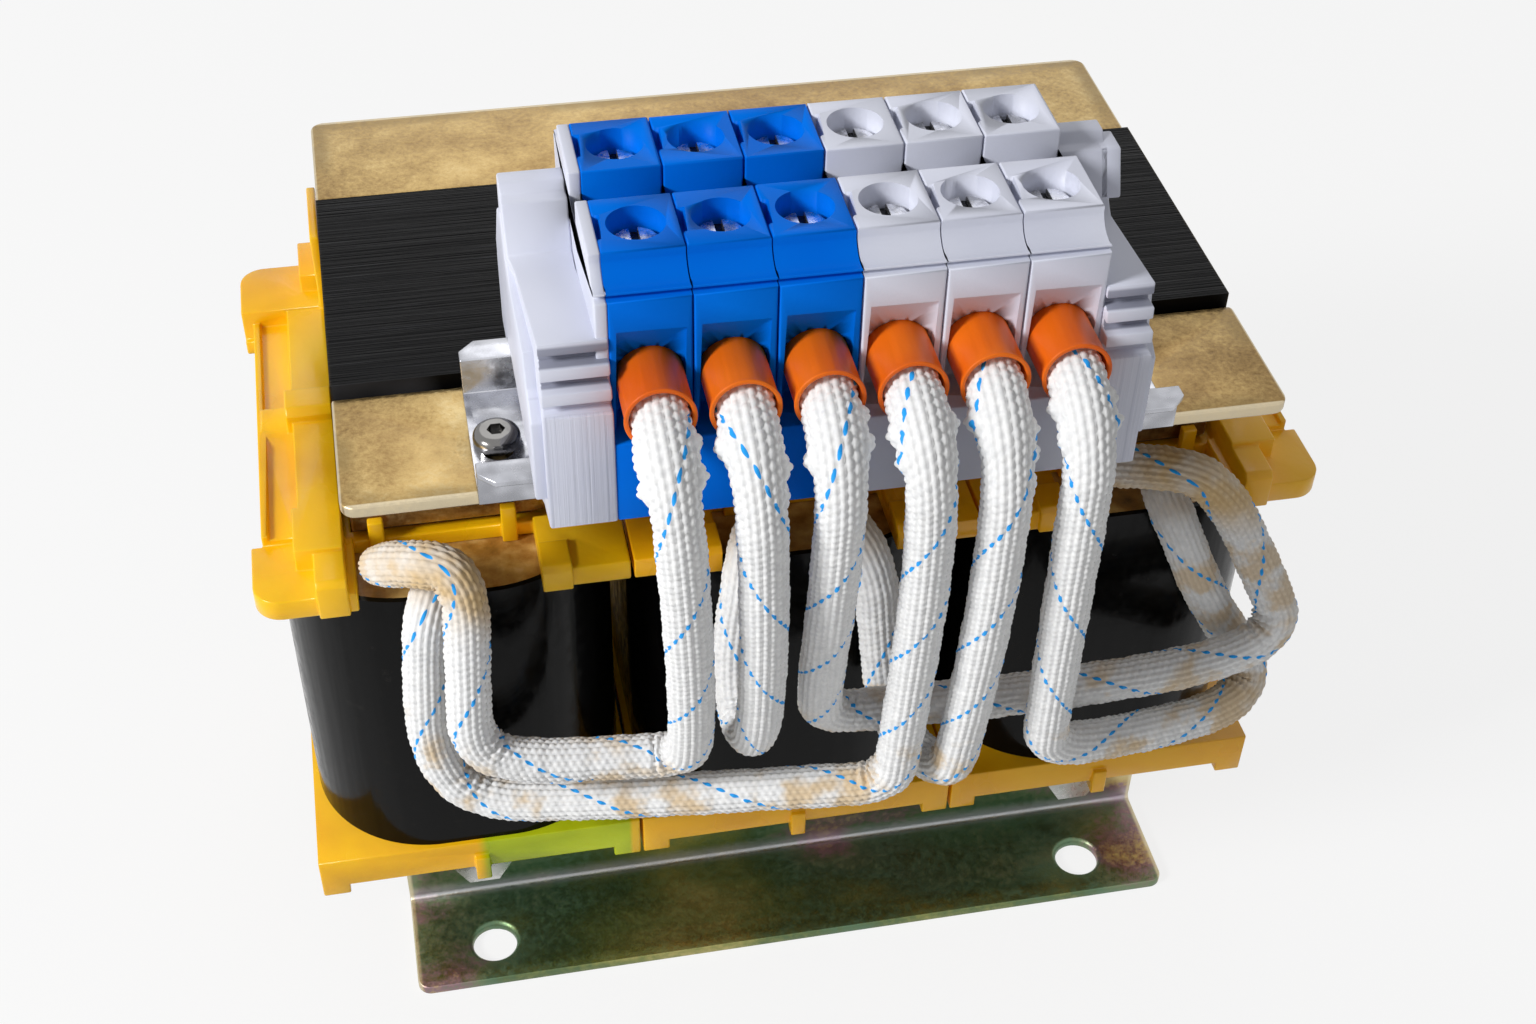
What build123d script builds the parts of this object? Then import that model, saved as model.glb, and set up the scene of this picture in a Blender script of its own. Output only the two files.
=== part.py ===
from build123d import *
import os
from math import hypot, radians, tan

# Three-phase filter reactor: a three-leg laminated core with gapped legs, three bobbin coils, clamping angles
# that also make the feet, and a mounting rail with six feed-through terminals for the sleeved leads.
# Millimetres, X along the core, -Y towards the leads, Z up, origin on the floor between the four feet holes.

# Core
leg_width = 30.0
leg_pitch = 60.0
stack = 54.0
yoke_height = 30.0
core_base = 0.6
gap = 1.2
block_height = 32.4
blocks_per_leg = 2

# Clamping angles
sheet = 2.0
bend_outer = 3.0
top_flange = 28.5
yoke_proud = 1.4
top_skirt = 27.6
foot_depth = 24.5
foot_skirt = 28.0
corner_r = 2.5
foot_hole_r = 4.25
foot_hole_rim = 0.7
foot_hole_spacing_x = 119.0
foot_hole_spacing_y = 85.0

# Yoke bolts
bolt_r = 3.0
bolt_x = 60.0
bolt_head_flats = 10.0
bolt_head_height = 4.0
nut_height = 5.0
bolt_thread_end = 2.0
washer_r = 6.0
washer_thickness = 1.2
sleeve_wall = 0.5
bolt_clearance = 0.3

# Bobbins
bobbin_width = 59.4
bobbin_depth = 88.0
bobbin_wall = 2.0
leg_clearance = 0.3
plate = 2.8
bobbin_base = 0.4
skirt_drop = 4.0
skirt_wall = 1.8
nub_drop = 6.4
nub_width = 5.0
notch_width = 30.0
notch_depth = 14.0
notch_lip = 1.4
lug_rise = 1.2
lug_flare = 1.9
lug_corner = 4.5
rib_width = 5.0
rib_rise = 4.6
rib_overhang = 0.9
wing_rise = 2.4
wing_pad_rise = 5.9
wing_strip_width = 7.0
wing_gap = 1.4
wing_ridge_rise = 8.0
cheek_wall = 1.6
cheek_rise = 21.0
boss_rise = 9.5

# Coils
wrap_width = 57.0
wrap_depth = 86.0
wrap_corner = 22.0
wrap_wall = 1.0
coil_clearance = 0.2
margin_height = 3.0

# Mounting rail
rail_width = 35.0
rail_height = 7.5
rail_sheet = 1.0
rail_channel = 27.0
rail_half_length = 54.5
rail_y = -44.5
rail_chamfer = 2.5
rail_slot_width = 4.6
rail_slot_length = 9.0
rail_screw_x = 50.4
rail_screw_head_r = 3.7
rail_screw_head = 2.4
rail_screw_r = 2.0
rail_nut_flats = 7.0
rail_nut_height = 3.2
hex_socket_flats = 2.5
hex_socket_depth = 1.4

# Terminals
terminal_count = 6
terminal_pitch = 12.0
terminal_width = 11.8
terminal_left = -34.9
terminal_y = -42.0
terminal_rise = 43.4
tower_inner = 3.6
tower_outer = 17.1
tower_face = 1.2
channel_depth = 8.0
flare_outer = 21.8
flare_drop = 3.5
flare_lip = 0.4
groove_depth = 0.8
groove_height = 0.6
face_outer = 22.5
shelf_rise = 16.9
block_outer = 25.9
foot_rise = 2.6
lip_clearance = 0.3
hook_reach = 2.6
hook_height = 1.7
keel_drop = 4.0
keel_width = 21.0
well_r = 4.25
well_depth = 6.1
entry_drop = 19.0
entry_r = 5.05
entry_edge_drop = 9.7
entry_roof_run = 2.3
entry_roof_clearance = 0.1
entry_depth = 4.5
notch_depth_x = 0.9
notch_start = 4.1
notch_length = 6.0
notch_height = 3.0

# Current path inside each terminal
clamp_offset = 10.4
cage_width = 9.6
cage_length = 7.0
cage_top_drop = 9.8
cage_height = 13.6
cage_wall = 1.4
cage_clearance = 0.2
bar_width = 6.4
bar_thickness = 1.5
bar_half_length = 15.0
ferrule_r = 3.0
clamp_screw_head_r = 3.7
clamp_screw_head = 3.2
clamp_screw_r = 2.5
clamp_slot_width = 1.3
clamp_slot_depth = 1.1
clamp_head_edge = 0.5

# End plate and end clamps
end_plate_thickness = 1.8
end_clamp_width = 8.5
end_clamp_top_drop = 2.0
end_clamp_shelf_drop = 13.7
end_clamp_tower_rear = 12.0
end_clamp_neck = 3.0
end_clamp_step = 2.0
end_clamp_shelf_front = 17.8
end_clamp_block_drop = 24.4
end_clamp_block_front = 25.0
end_clamp_rib_count = 3
end_clamp_rib_depth = 1.3
end_clamp_groove = 1.3
end_clamp_top_slot = 1.6

# Leads
lead_r = 4.3
collar_r = 4.95
collar_bore_r = 4.5
collar_rear = -60.4
collar_front = -72.6
collar_flare = 0.3
lead_start = -63.0
fold_r = 8.6
fold_turn = 60.0
rule_share = 0.45

# Sizes worked out from the ones above
core_half = leg_pitch + leg_width / 2
stack_half = stack / 2
leg_base = core_base + yoke_height
leg_height = blocks_per_leg * block_height + (blocks_per_leg + 1) * gap
leg_top = leg_base + leg_height
yoke_top = leg_top + yoke_height
flange_top = yoke_top - yoke_proud
skirt_outer = stack_half + sheet
bobbin_bottom = leg_base + bobbin_base
bobbin_top = leg_top - bobbin_base
plate_low = bobbin_bottom + plate
plate_high = bobbin_top - plate
tube_half_x = leg_width / 2 + leg_clearance + bobbin_wall
tube_half_y = stack_half + leg_clearance + bobbin_wall
rail_web = flange_top
rail_lip_top = rail_web + rail_height
rail_lip_under = rail_lip_top - rail_sheet
tower_top = rail_web + terminal_rise
channel_floor = tower_top - channel_depth
flare_foot = tower_top - flare_drop
groove_top = flare_foot - flare_lip
groove_floor = groove_top - groove_height
shelf_top = rail_web + shelf_rise
foot_bottom = rail_web + foot_rise
well_floor = tower_top - well_depth
entry_z = tower_top - entry_drop
entry_top = tower_top - entry_edge_drop
entry_roof = entry_z + entry_r + entry_roof_clearance
cage_top = tower_top - cage_top_drop
cage_bottom = cage_top - cage_height
end_clamp_top = tower_top - end_clamp_top_drop
end_clamp_shelf = tower_top - end_clamp_shelf_drop
end_clamp_block_top = tower_top - end_clamp_block_drop
terminal_x = [terminal_left + terminal_width / 2 + i * terminal_pitch for i in range(terminal_count)]
terminal_right = terminal_x[-1] + terminal_width / 2
bar_bottom = entry_z + ferrule_r
bar_top = bar_bottom + bar_thickness
bolt_levels = [core_base + yoke_height / 2, leg_top + yoke_height / 2]


def save(node, *solids):
    """Write one node's solids to its STEP file."""
    shape = solids[0] if len(solids) == 1 else Compound(children=list(solids))
    shape.label = node
    export_step(shape, f"parts/{node}.step")


def box(low, high):
    """A box between two opposite corners."""
    size = [b - a for a, b in zip(low, high)]
    centre = [(a + b) / 2 for a, b in zip(low, high)]
    return Pos(*centre) * Box(*size)


def along_x(face_lines, low, high):
    """Extrude an outline drawn in Y and Z from one X to another."""
    face = make_face(face_lines)
    return Pos(low, 0, 0) * extrude(face, high - low, dir=(1, 0, 0))


def polygon_yz(points):
    """A closed outline through (y, z) points."""
    return Polyline([(0, y, z) for y, z in points], close=True)


def solid_of(shape):
    """The single solid of a boolean result."""
    return shape.solids()[0]


# Core
def yoke(low):
    return box((-core_half, -stack_half, low), (core_half, stack_half, low + yoke_height))


def leg(x):
    step = block_height + gap
    return [box((x - leg_width / 2, -stack_half, leg_base + gap + i * step),
                (x + leg_width / 2, stack_half, leg_base + (i + 1) * step)) for i in range(blocks_per_leg)]


def leg_spacers(x):
    step = block_height + gap
    lows = [leg_base + i * step for i in range(blocks_per_leg + 1)]
    half = leg_width / 2
    return [box((x - half, -stack_half, low), (x + half, stack_half, low + gap)) for low in lows]


def bolt_hole(x, z, radius):
    """A cylinder along Y, longer than the stack, on one yoke bolt's axis."""
    return Pos(x, 0, z) * Rot(90, 0, 0) * Cylinder(radius, 2 * stack)


def drilled(shape, z, radius):
    for x in (-bolt_x, bolt_x):
        shape = shape - bolt_hole(x, z, radius)
    return solid_of(shape)


# Angles: an L section, bent on a radius, run along X. front is -1 for the lead side and 1 for the rear.
def angle(front, corner_z, skirt, reach, up):
    """An angle whose outer corner is at the core face; its skirt goes up or down by the sign of up."""
    def yz(y, z):
        return (front * (stack_half + y), corner_z + up * z)

    def bend(solid, y, z, radius):
        at_y, at_z = yz(y, z)
        edges = [e for e in solid.edges().filter_by(Axis.X)
                 if abs(e.center().Y - at_y) < 0.01 and abs(e.center().Z - at_z) < 0.01]
        return fillet(edges, radius)
    outline = [yz(0, skirt), yz(0, 0), yz(reach, 0), yz(reach, sheet), yz(sheet, sheet), yz(sheet, skirt)]
    blank = along_x(polygon_yz(outline), -core_half, core_half)
    blank = bend(blank, 0, 0, bend_outer)
    blank = bend(blank, sheet, sheet, bend_outer - sheet)
    tip = front * (stack_half + reach)
    corners = [e for e in blank.edges().filter_by(Axis.Z) if abs(e.center().Y - tip) < 0.01]
    return solid_of(fillet(corners, corner_r))


def foot_angle(front):
    part = angle(front, 0, foot_skirt, foot_depth, 1)
    for x in (-foot_hole_spacing_x / 2, foot_hole_spacing_x / 2):
        at = Pos(x, front * foot_hole_spacing_y / 2, sheet)
        part = part - at * Cylinder(foot_hole_r, 4 * sheet)
        rim = Cone(foot_hole_r, foot_hole_r + foot_hole_rim, foot_hole_rim)
        part = part - at * Pos(0, 0, -foot_hole_rim / 2) * rim
    return drilled(part, bolt_levels[0], bolt_r + bolt_clearance)


def top_angle(front):
    part = angle(front, flange_top, top_skirt, top_flange, -1)
    if front < 0:
        for x in (-rail_screw_x, rail_screw_x):
            part = part - Pos(x, rail_y, flange_top) * Cylinder(rail_screw_r + bolt_clearance, 4 * sheet)
    return drilled(part, bolt_levels[1], bolt_r + bolt_clearance)


# Yoke bolts with their washers, nuts and insulating sleeves
def hexagon(flats, height):
    return extrude(RegularPolygon(flats / 2, 6, major_radius=False), height)


def bolt_places():
    return [(x, z) for z in bolt_levels for x in (-bolt_x, bolt_x)]


def facing_front(x, y, z):
    """A place at (x, y, z) whose local Z points to the lead side."""
    return Pos(x, y, z) * Rot(90, 0, 0)


def yoke_bolt(x, z):
    seat = skirt_outer + washer_thickness
    head = facing_front(x, -seat, z) * hexagon(bolt_head_flats, bolt_head_height)
    length = 2 * seat + nut_height + bolt_thread_end
    shank = facing_front(x, -seat + length, z) * extrude(Circle(bolt_r), length)
    return solid_of(head + shank)


def yoke_washers(x, z):
    ring = extrude(Circle(washer_r) - Circle(bolt_r), washer_thickness)
    return [facing_front(x, y, z) * ring for y in (-skirt_outer, skirt_outer + washer_thickness)]


def yoke_nut(x, z):
    nut = hexagon(bolt_head_flats, nut_height) - Cylinder(bolt_r, 4 * nut_height)
    return facing_front(x, skirt_outer + washer_thickness + nut_height, z) * solid_of(nut)


def bolt_sleeve(x, z):
    tube = extrude(Circle(bolt_r + sleeve_wall) - Circle(bolt_r), stack)
    return facing_front(x, stack_half, z) * tube


# Bobbins
def flange_outline(side):
    """The flange seen from above, with the leg's hole and, on an end bobbin, flared outer corners."""
    shape = Rectangle(bobbin_width, bobbin_depth)
    if side:
        lug = (bobbin_depth - stack) / 2 - sheet
        for y in (-1, 1):
            shape = shape + Pos(side * (bobbin_width + lug_flare) / 2, y * (bobbin_depth - lug) / 2) \
                * Rectangle(lug_flare, lug)
        outer = [v for v in shape.vertices() if side * v.X > bobbin_width / 2 + lug_flare / 2
                 and abs(v.Y) > bobbin_depth / 2 - 0.1]
        shape = fillet(outer, lug_corner)
    return shape


def top_flange_solid(x, side):
    outline = flange_outline(side)
    for y in (-1, 1):
        outline = outline - Pos(0, y * (bobbin_depth - notch_depth) / 2) * Rectangle(notch_width, notch_depth)
    return Pos(x, 0, plate_high) * extrude(outline, plate)


def lugs(x, side):
    """The four thickened corner lugs of the top flange, each with an upright rib beside the notch."""
    out = []
    inner = notch_width / 2
    lug_depth = notch_depth
    lug_y = bobbin_depth / 2
    for sx in (-1, 1):
        reach = bobbin_width / 2 + (lug_flare if sx == side else 0)
        for sy in (-1, 1):
            middle = Pos((inner + reach) / 2 * sx, (lug_y - lug_depth / 2) * sy)
            pad = middle * Rectangle(reach - inner, lug_depth)
            if sx == side:
                far = [v for v in pad.vertices() if abs(v.X) > reach - 0.1 and abs(v.Y) > lug_y - 0.1]
                pad = fillet(far, lug_corner)
            out.append(Pos(x, 0, bobbin_top) * extrude(pad, lug_rise))
            rib_low = lug_y - lug_depth if sx == side else lug_y - lug_depth / 2
            start = inner + (wing_gap if sx == side else 0)
            high = bobbin_top + (rib_rise if sx == side else rib_rise / 2)
            x0, x1 = sorted((sx * start, sx * (start + rib_width)))
            y0, y1 = sorted((sy * rib_low, sy * (lug_y + rib_overhang)))
            rib = box((x0, y0, plate_high), (x1, y1, high))
            rib = chamfer(rib.edges().filter_by(Axis.X).group_by(Axis.Z)[-1], 1.0)
            out.append(Pos(x, 0, 0) * rib)
    return out


def wing(x, side):
    """The moulded outer side of an end bobbin, beside the yoke: pad, channel, strip, ridge and block."""
    near = leg_width / 2 + wing_gap
    far = bobbin_width / 2
    edge = stack_half + sheet + 1.0

    def block(x0, x1, y0, y1, rise):
        low, high = sorted((x + side * x0, x + side * x1))
        return box((low, y0, plate_high), (high, y1, bobbin_top + rise))
    floor = block(near, far, -edge, edge, wing_rise)
    pad = block(near, far + lug_flare, edge, bobbin_depth / 2, wing_pad_rise)
    upright = pad.edges().filter_by(Axis.Z)
    outer = [e for e in upright if side * (e.center().X - x) > far and e.center().Y > edge + 1]
    pad = fillet(outer, lug_corner)
    strip = block(near, near + wing_strip_width, -edge, edge, wing_pad_rise - 0.4)
    ridge = block(near, near + wing_strip_width + 1.0, -3.5, 4.0, wing_ridge_rise)
    ridge = chamfer(ridge.edges().filter_by(Axis.X).group_by(Axis.Z)[-1], 1.2)
    slope = Polyline([(0, 4.0, bobbin_top + wing_rise), (0, -6.0, bobbin_top + wing_rise),
                      (0, -1.0, bobbin_top + wing_rise + 1.8), (0, 3.0, bobbin_top + wing_rise + 1.8)],
                     close=True)
    x0, x1 = sorted((x + side * near, x + side * (far - 0.8)))
    ramp = along_x(slope, x0, x1)
    front = block(near, near + wing_strip_width + 1.0, -edge - 7.0, -edge + 4.0, wing_pad_rise - 0.4)
    rim = block(far - 1.2, far, -edge, edge, wing_rise + 0.9)
    boss = block(near + 0.6, near + 4.0, edge + 5.0, bobbin_depth / 2 + 2.0, boss_rise)
    cheek = block(near - 0.8, near - 0.8 + cheek_wall, edge - 0.5, bobbin_depth / 2 + 2.6, cheek_rise)
    return [floor, pad, strip, ridge, ramp, front, rim, boss, cheek]


def bottom_flange(x, side):
    """The lower flange: a plate with a skirt at front and rear, corner nubs and small feet."""
    parts = [Pos(x, 0, bobbin_bottom) * extrude(flange_outline(0), plate)]
    half = bobbin_width / 2
    for sy in (-1, 1):
        y0, y1 = sorted((sy * (bobbin_depth / 2 - skirt_wall), sy * bobbin_depth / 2))
        parts.append(box((x - half, y0, bobbin_bottom - skirt_drop), (x + half, y1, bobbin_bottom)))
        for sx in (-1, 1):
            x0, x1 = sorted((x + sx * half, x + sx * (half - nub_width)))
            n0, n1 = sorted((sy * (bobbin_depth / 2 - 2 * nub_width), sy * (bobbin_depth / 2)))
            parts.append(box((x0, n0, bobbin_bottom - nub_drop), (x1, n1, bobbin_bottom)))
        m0, m1 = sorted((sy * (bobbin_depth / 2 - skirt_wall), sy * (bobbin_depth / 2 + 1.2)))
        parts.append(box((x - 1.4, m0, bobbin_bottom - nub_drop), (x + 1.4, m1, bobbin_bottom - 0.5)))
    if side:
        s0, s1 = sorted((x + side * (half - skirt_wall), x + side * half))
        end_y = bobbin_depth / 2
        parts.append(box((s0, -end_y, bobbin_bottom - skirt_drop), (s1, end_y, bobbin_bottom)))
    return parts


def posts(x):
    """Two small guide posts behind each notch of the top flange."""
    out = []
    for sy in (-1, 1):
        for sx in (-1, 1):
            notch_y = bobbin_depth / 2 - notch_depth
            y0, y1 = sorted((sy * (notch_y - 0.4), sy * (notch_y + notch_lip)))
            px = x + sx * (notch_width / 2 - 4.0)
            out.append(box((px - 1.3, y0, plate_high), (px + 1.3, y1, bobbin_top + rib_rise)))
    return out


def bobbin(x, side):
    tube = Rectangle(2 * tube_half_x, 2 * tube_half_y)
    body = Pos(x, 0, bobbin_bottom) * extrude(tube, bobbin_top - bobbin_bottom)
    parts = [top_flange_solid(x, side)] + lugs(x, side) + bottom_flange(x, side) + posts(x)
    if side:
        parts += wing(x, side)
    for part in parts:
        body = body + part
    hole_x = leg_width / 2 + leg_clearance
    hole_y = stack_half + leg_clearance
    body = body - box((x - hole_x, -hole_y, bobbin_bottom - 1), (x + hole_x, hole_y, bobbin_top))
    return solid_of(body)


# Coils
def rounded(width, depth, corner):
    return RectangleRounded(width, depth, corner)


def tube_hole():
    return Rectangle(2 * (tube_half_x + coil_clearance), 2 * (tube_half_y + coil_clearance))


def coil_wrap(x):
    ring = rounded(wrap_width, wrap_depth, wrap_corner) \
        - rounded(wrap_width - 2 * wrap_wall, wrap_depth - 2 * wrap_wall, wrap_corner - wrap_wall)
    return Pos(x, 0, plate_low) * extrude(ring, plate_high - plate_low)


def coil_ring(x, low, high):
    inner_width = wrap_width - 2 * wrap_wall
    inner_depth = wrap_depth - 2 * wrap_wall
    ring = rounded(inner_width, inner_depth, wrap_corner - wrap_wall) - tube_hole()
    return Pos(x, 0, low) * extrude(ring, high - low)


def winding(x):
    return coil_ring(x, plate_low + margin_height, plate_high - margin_height)


def margin_paper(x):
    lows = (plate_low, plate_high - margin_height)
    return [coil_ring(x, low, low + margin_height) for low in lows]


# Mounting rail
def rail():
    web = rail_channel / 2
    lip = rail_width / 2
    t = rail_sheet
    half = [(web - t, t), (web - t, rail_height), (lip, rail_height), (lip, rail_height - t),
            (web, rail_height - t), (web, 0)]
    outline = [(rail_y + y, rail_web + z) for y, z in half]
    outline += [(rail_y - y, rail_web + z) for y, z in reversed(half)]
    body = along_x(polygon_yz(outline), -rail_half_length, rail_half_length)
    corners = [e for e in body.edges().filter_by(Axis.Z)
               if abs(abs(e.center().Y - rail_y) - lip) < 0.01
               and abs(abs(e.center().X) - rail_half_length) < 0.01]
    body = chamfer(corners, rail_chamfer)
    for x in (-rail_screw_x, rail_screw_x):
        slot = SlotOverall(rail_slot_length, rail_slot_width, rotation=90)
        body = body - Pos(x, rail_y, rail_web) * extrude(slot, 3 * t, both=True)
    return solid_of(body)


def rail_screw(x):
    seat = rail_web + rail_sheet
    length = rail_sheet + sheet + rail_nut_height + 1.0
    head = Pos(x, rail_y, seat) * extrude(Circle(rail_screw_head_r), rail_screw_head)
    head = fillet(head.edges().group_by(Axis.Z)[-1], rail_screw_head * 0.6)
    socket_floor = seat + rail_screw_head - hex_socket_depth
    socket = Pos(x, rail_y, socket_floor) * hexagon(hex_socket_flats, hex_socket_depth)
    shank = Pos(x, rail_y, seat - length) * extrude(Circle(rail_screw_r), length)
    return solid_of(head + shank - socket)


def rail_nut(x):
    nut = hexagon(rail_nut_flats, rail_nut_height) - Cylinder(rail_screw_r, 4 * rail_nut_height)
    return Pos(x, rail_y, flange_top - sheet - rail_nut_height) * solid_of(nut)


# Terminals. u is the distance from the terminal's middle: to the front with sign -1, to the rear with 1.
def terminal_side(sign):
    """The outline of one half of a terminal from the channel floor round to its underside."""
    def yz(u, z):
        return (0, terminal_y + sign * u, z)
    lip_edge = rail_width / 2 + lip_clearance + (terminal_y - rail_y) * -sign
    under = rail_lip_top + lip_clearance
    hook_top = rail_lip_under - lip_clearance
    return [
        Polyline(yz(0, channel_floor), yz(tower_inner, channel_floor), yz(tower_inner, tower_top),
                 yz(tower_outer, tower_top), yz(tower_outer, tower_top - tower_face)),
        ThreePointArc(yz(tower_outer, tower_top - tower_face),
                      yz(tower_outer + 1.7, tower_top - tower_face - 2.0), yz(flare_outer, flare_foot)),
        Polyline(yz(flare_outer, flare_foot), yz(flare_outer, groove_top),
                 yz(flare_outer - groove_depth, groove_top),
                 yz(flare_outer - groove_depth, groove_floor), yz(face_outer, groove_floor),
                 yz(face_outer, shelf_top), yz(block_outer, shelf_top), yz(block_outer, foot_bottom),
                 yz(lip_edge, foot_bottom), yz(lip_edge - hook_reach, hook_top - hook_height),
                 yz(lip_edge - hook_reach, hook_top), yz(lip_edge, hook_top), yz(lip_edge, under),
                 (0, rail_y + sign * keel_width / 2, under),
                 (0, rail_y + sign * keel_width / 2, under - keel_drop),
                 (0, rail_y, under - keel_drop)),
    ]


def terminal_profile():
    return make_face(Curve() + terminal_side(-1) + terminal_side(1))


def entry(sign):
    """The wire entry: a recess with a steep roof and coned corners, and a round way to the clamp."""
    def yz(u, z):
        return (terminal_y + sign * u, z)
    mouth = face_outer + 0.5
    slope = (entry_top - entry_roof) / entry_roof_run
    back = face_outer - entry_depth
    outline = [yz(mouth, entry_top + 0.5 * slope), yz(face_outer - entry_roof_run, entry_roof),
               yz(back, entry_roof), yz(back, shelf_top), yz(mouth, shelf_top)]
    recess = along_x(polygon_yz(outline), -entry_r, entry_r)
    start = Plane(origin=(0, terminal_y + sign * back, entry_z), x_dir=(1, 0, 0), z_dir=(0, -sign, 0))
    way = extrude(start * Circle(entry_r - 0.2), back - clamp_offset)
    throat_y = terminal_y + sign * (face_outer - entry_roof_run)
    throat = Plane(origin=(0, throat_y, entry_z), x_dir=(1, 0, 0), z_dir=(0, sign, 0))
    to_corner = hypot(entry_r, entry_top - entry_z)
    spread = entry_r + (to_corner - entry_r) * (entry_roof_run + 0.5) / entry_roof_run
    upwards = (Align.CENTER, Align.CENTER, Align.MIN)
    downwards = (Align.CENTER, Align.CENTER, Align.MAX)
    flare = throat * Cone(entry_r, spread, entry_roof_run + 0.5, align=upwards)
    bore = start * Cylinder(entry_r, entry_depth - entry_roof_run + 0.1, align=downwards)
    below = box((-entry_r, min(throat_y, terminal_y + sign * mouth), shelf_top),
                (entry_r, max(throat_y, terminal_y + sign * mouth), entry_z))
    under = box((-entry_r, min(throat_y, terminal_y + sign * back), shelf_top),
                (entry_r, max(throat_y, terminal_y + sign * back), entry_z))
    return (recess & (flare + bore + below + under)) + way


def cavity(sign):
    """Room for one clamp cage, its screw and the well above it."""
    y = terminal_y + sign * clamp_offset
    half = cage_width / 2 + cage_clearance
    reach = cage_length / 2 + 2 * cage_clearance
    room = box((-half, y - reach, cage_bottom - 1.0), (half, y + reach, cage_top + 0.8))
    shaft = Pos(0, y, 0) * extrude(Circle(clamp_screw_r + cage_clearance), tower_top)
    shaft = shaft & box((-9, y - 9, cage_top), (9, y + 9, tower_top + 1))
    well = Pos(0, y, well_floor) * extrude(Circle(well_r), tower_top - well_floor + 1)
    return room + shaft + well


def terminal_blank():
    body = extrude(terminal_profile(), terminal_width / 2, dir=(1, 0, 0), both=True)
    for sign in (-1, 1):
        body = body - entry(sign) - cavity(sign)
    half_width = bar_width / 2 + cage_clearance
    half_length = bar_half_length + cage_clearance
    slot = box((-half_width, terminal_y - half_length, bar_bottom - cage_clearance),
               (half_width, terminal_y + half_length, bar_top + cage_clearance))
    body = body - slot
    for sign in (-1, 1):
        near = terminal_y + sign * (tower_inner + notch_start)
        far = near + sign * notch_length
        notch = box((-terminal_width, min(near, far), tower_top - notch_height),
                    (-terminal_width / 2 + notch_depth_x, max(near, far), tower_top + 1))
        body = body - notch
    return solid_of(body)


def current_bar(x):
    return box((x - bar_width / 2, terminal_y - bar_half_length, bar_bottom),
               (x + bar_width / 2, terminal_y + bar_half_length, bar_top))


def clamp_cage(x, sign):
    y = terminal_y + sign * clamp_offset
    outer = box((x - cage_width / 2, y - cage_length / 2, cage_bottom),
                (x + cage_width / 2, y + cage_length / 2, cage_top))
    inner = box((x - cage_width / 2 + cage_wall, y - cage_length, cage_bottom + cage_wall),
                (x + cage_width / 2 - cage_wall, y + cage_length, cage_top - cage_wall))
    return solid_of(outer - inner - Pos(x, y, cage_top) * Cylinder(clamp_screw_r, 4 * cage_wall))


def clamp_screw(x, sign):
    y = terminal_y + sign * clamp_offset
    head = Pos(x, y, well_floor) * extrude(Circle(clamp_screw_head_r), clamp_screw_head)
    head = chamfer(head.edges().group_by(Axis.Z)[-1], clamp_head_edge)
    shank = Pos(x, y, bar_top) * extrude(Circle(clamp_screw_r), well_floor - bar_top)
    slot = Pos(x, y, well_floor + clamp_screw_head) * Box(clamp_slot_width, 3 * clamp_screw_head_r,
                                                          2 * clamp_slot_depth)
    return solid_of(head + shank - slot)


def terminal_end_plate():
    """The thin cover on the open side of the first terminal, cut to the same outline."""
    plate_solid = extrude(terminal_profile(), end_plate_thickness, dir=(1, 0, 0))
    return Pos(terminal_left - end_plate_thickness, 0, 0) * plate_solid


# End clamps: the left one is drawn, the right one is its mirror image
def end_clamp_outline():
    def yz(u, z):
        return (terminal_y - u, z)
    lip_front = rail_width / 2 + lip_clearance + terminal_y - rail_y
    lip_rear = -(rail_width / 2 + lip_clearance - (terminal_y - rail_y))
    under = rail_lip_top + lip_clearance
    hook_top = rail_lip_under - lip_clearance
    points = [yz(0, end_clamp_top), yz(0, end_clamp_shelf),
              yz(end_clamp_shelf_front, end_clamp_shelf)]
    rise = (end_clamp_shelf - end_clamp_block_top) / end_clamp_rib_count
    run = (end_clamp_block_front - end_clamp_shelf_front) / end_clamp_rib_count
    for i in range(end_clamp_rib_count):
        u = end_clamp_shelf_front + i * run
        z = end_clamp_shelf - i * rise
        points += [yz(u + run, z - rise + end_clamp_groove),
                   yz(u + run - end_clamp_rib_depth, z - rise + end_clamp_groove),
                   yz(u + run - end_clamp_rib_depth, z - rise), yz(u + run, z - rise)]
    points += [yz(block_outer, end_clamp_block_top), yz(block_outer, foot_bottom), yz(lip_front, foot_bottom),
               yz(lip_front - hook_reach, hook_top - hook_height), yz(lip_front - hook_reach, hook_top),
               yz(lip_front, hook_top), yz(lip_front, under), yz(lip_rear, under), yz(lip_rear, hook_top),
               yz(lip_rear + hook_reach, hook_top), yz(lip_rear + hook_reach, hook_top - hook_height),
               yz(lip_rear, foot_bottom), yz(-block_outer, foot_bottom),
               yz(-block_outer, end_clamp_block_top),
               yz(-end_clamp_shelf_front, end_clamp_shelf), yz(-end_clamp_tower_rear, end_clamp_shelf),
               yz(-end_clamp_tower_rear, end_clamp_top)]
    return polygon_yz(points)


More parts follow.
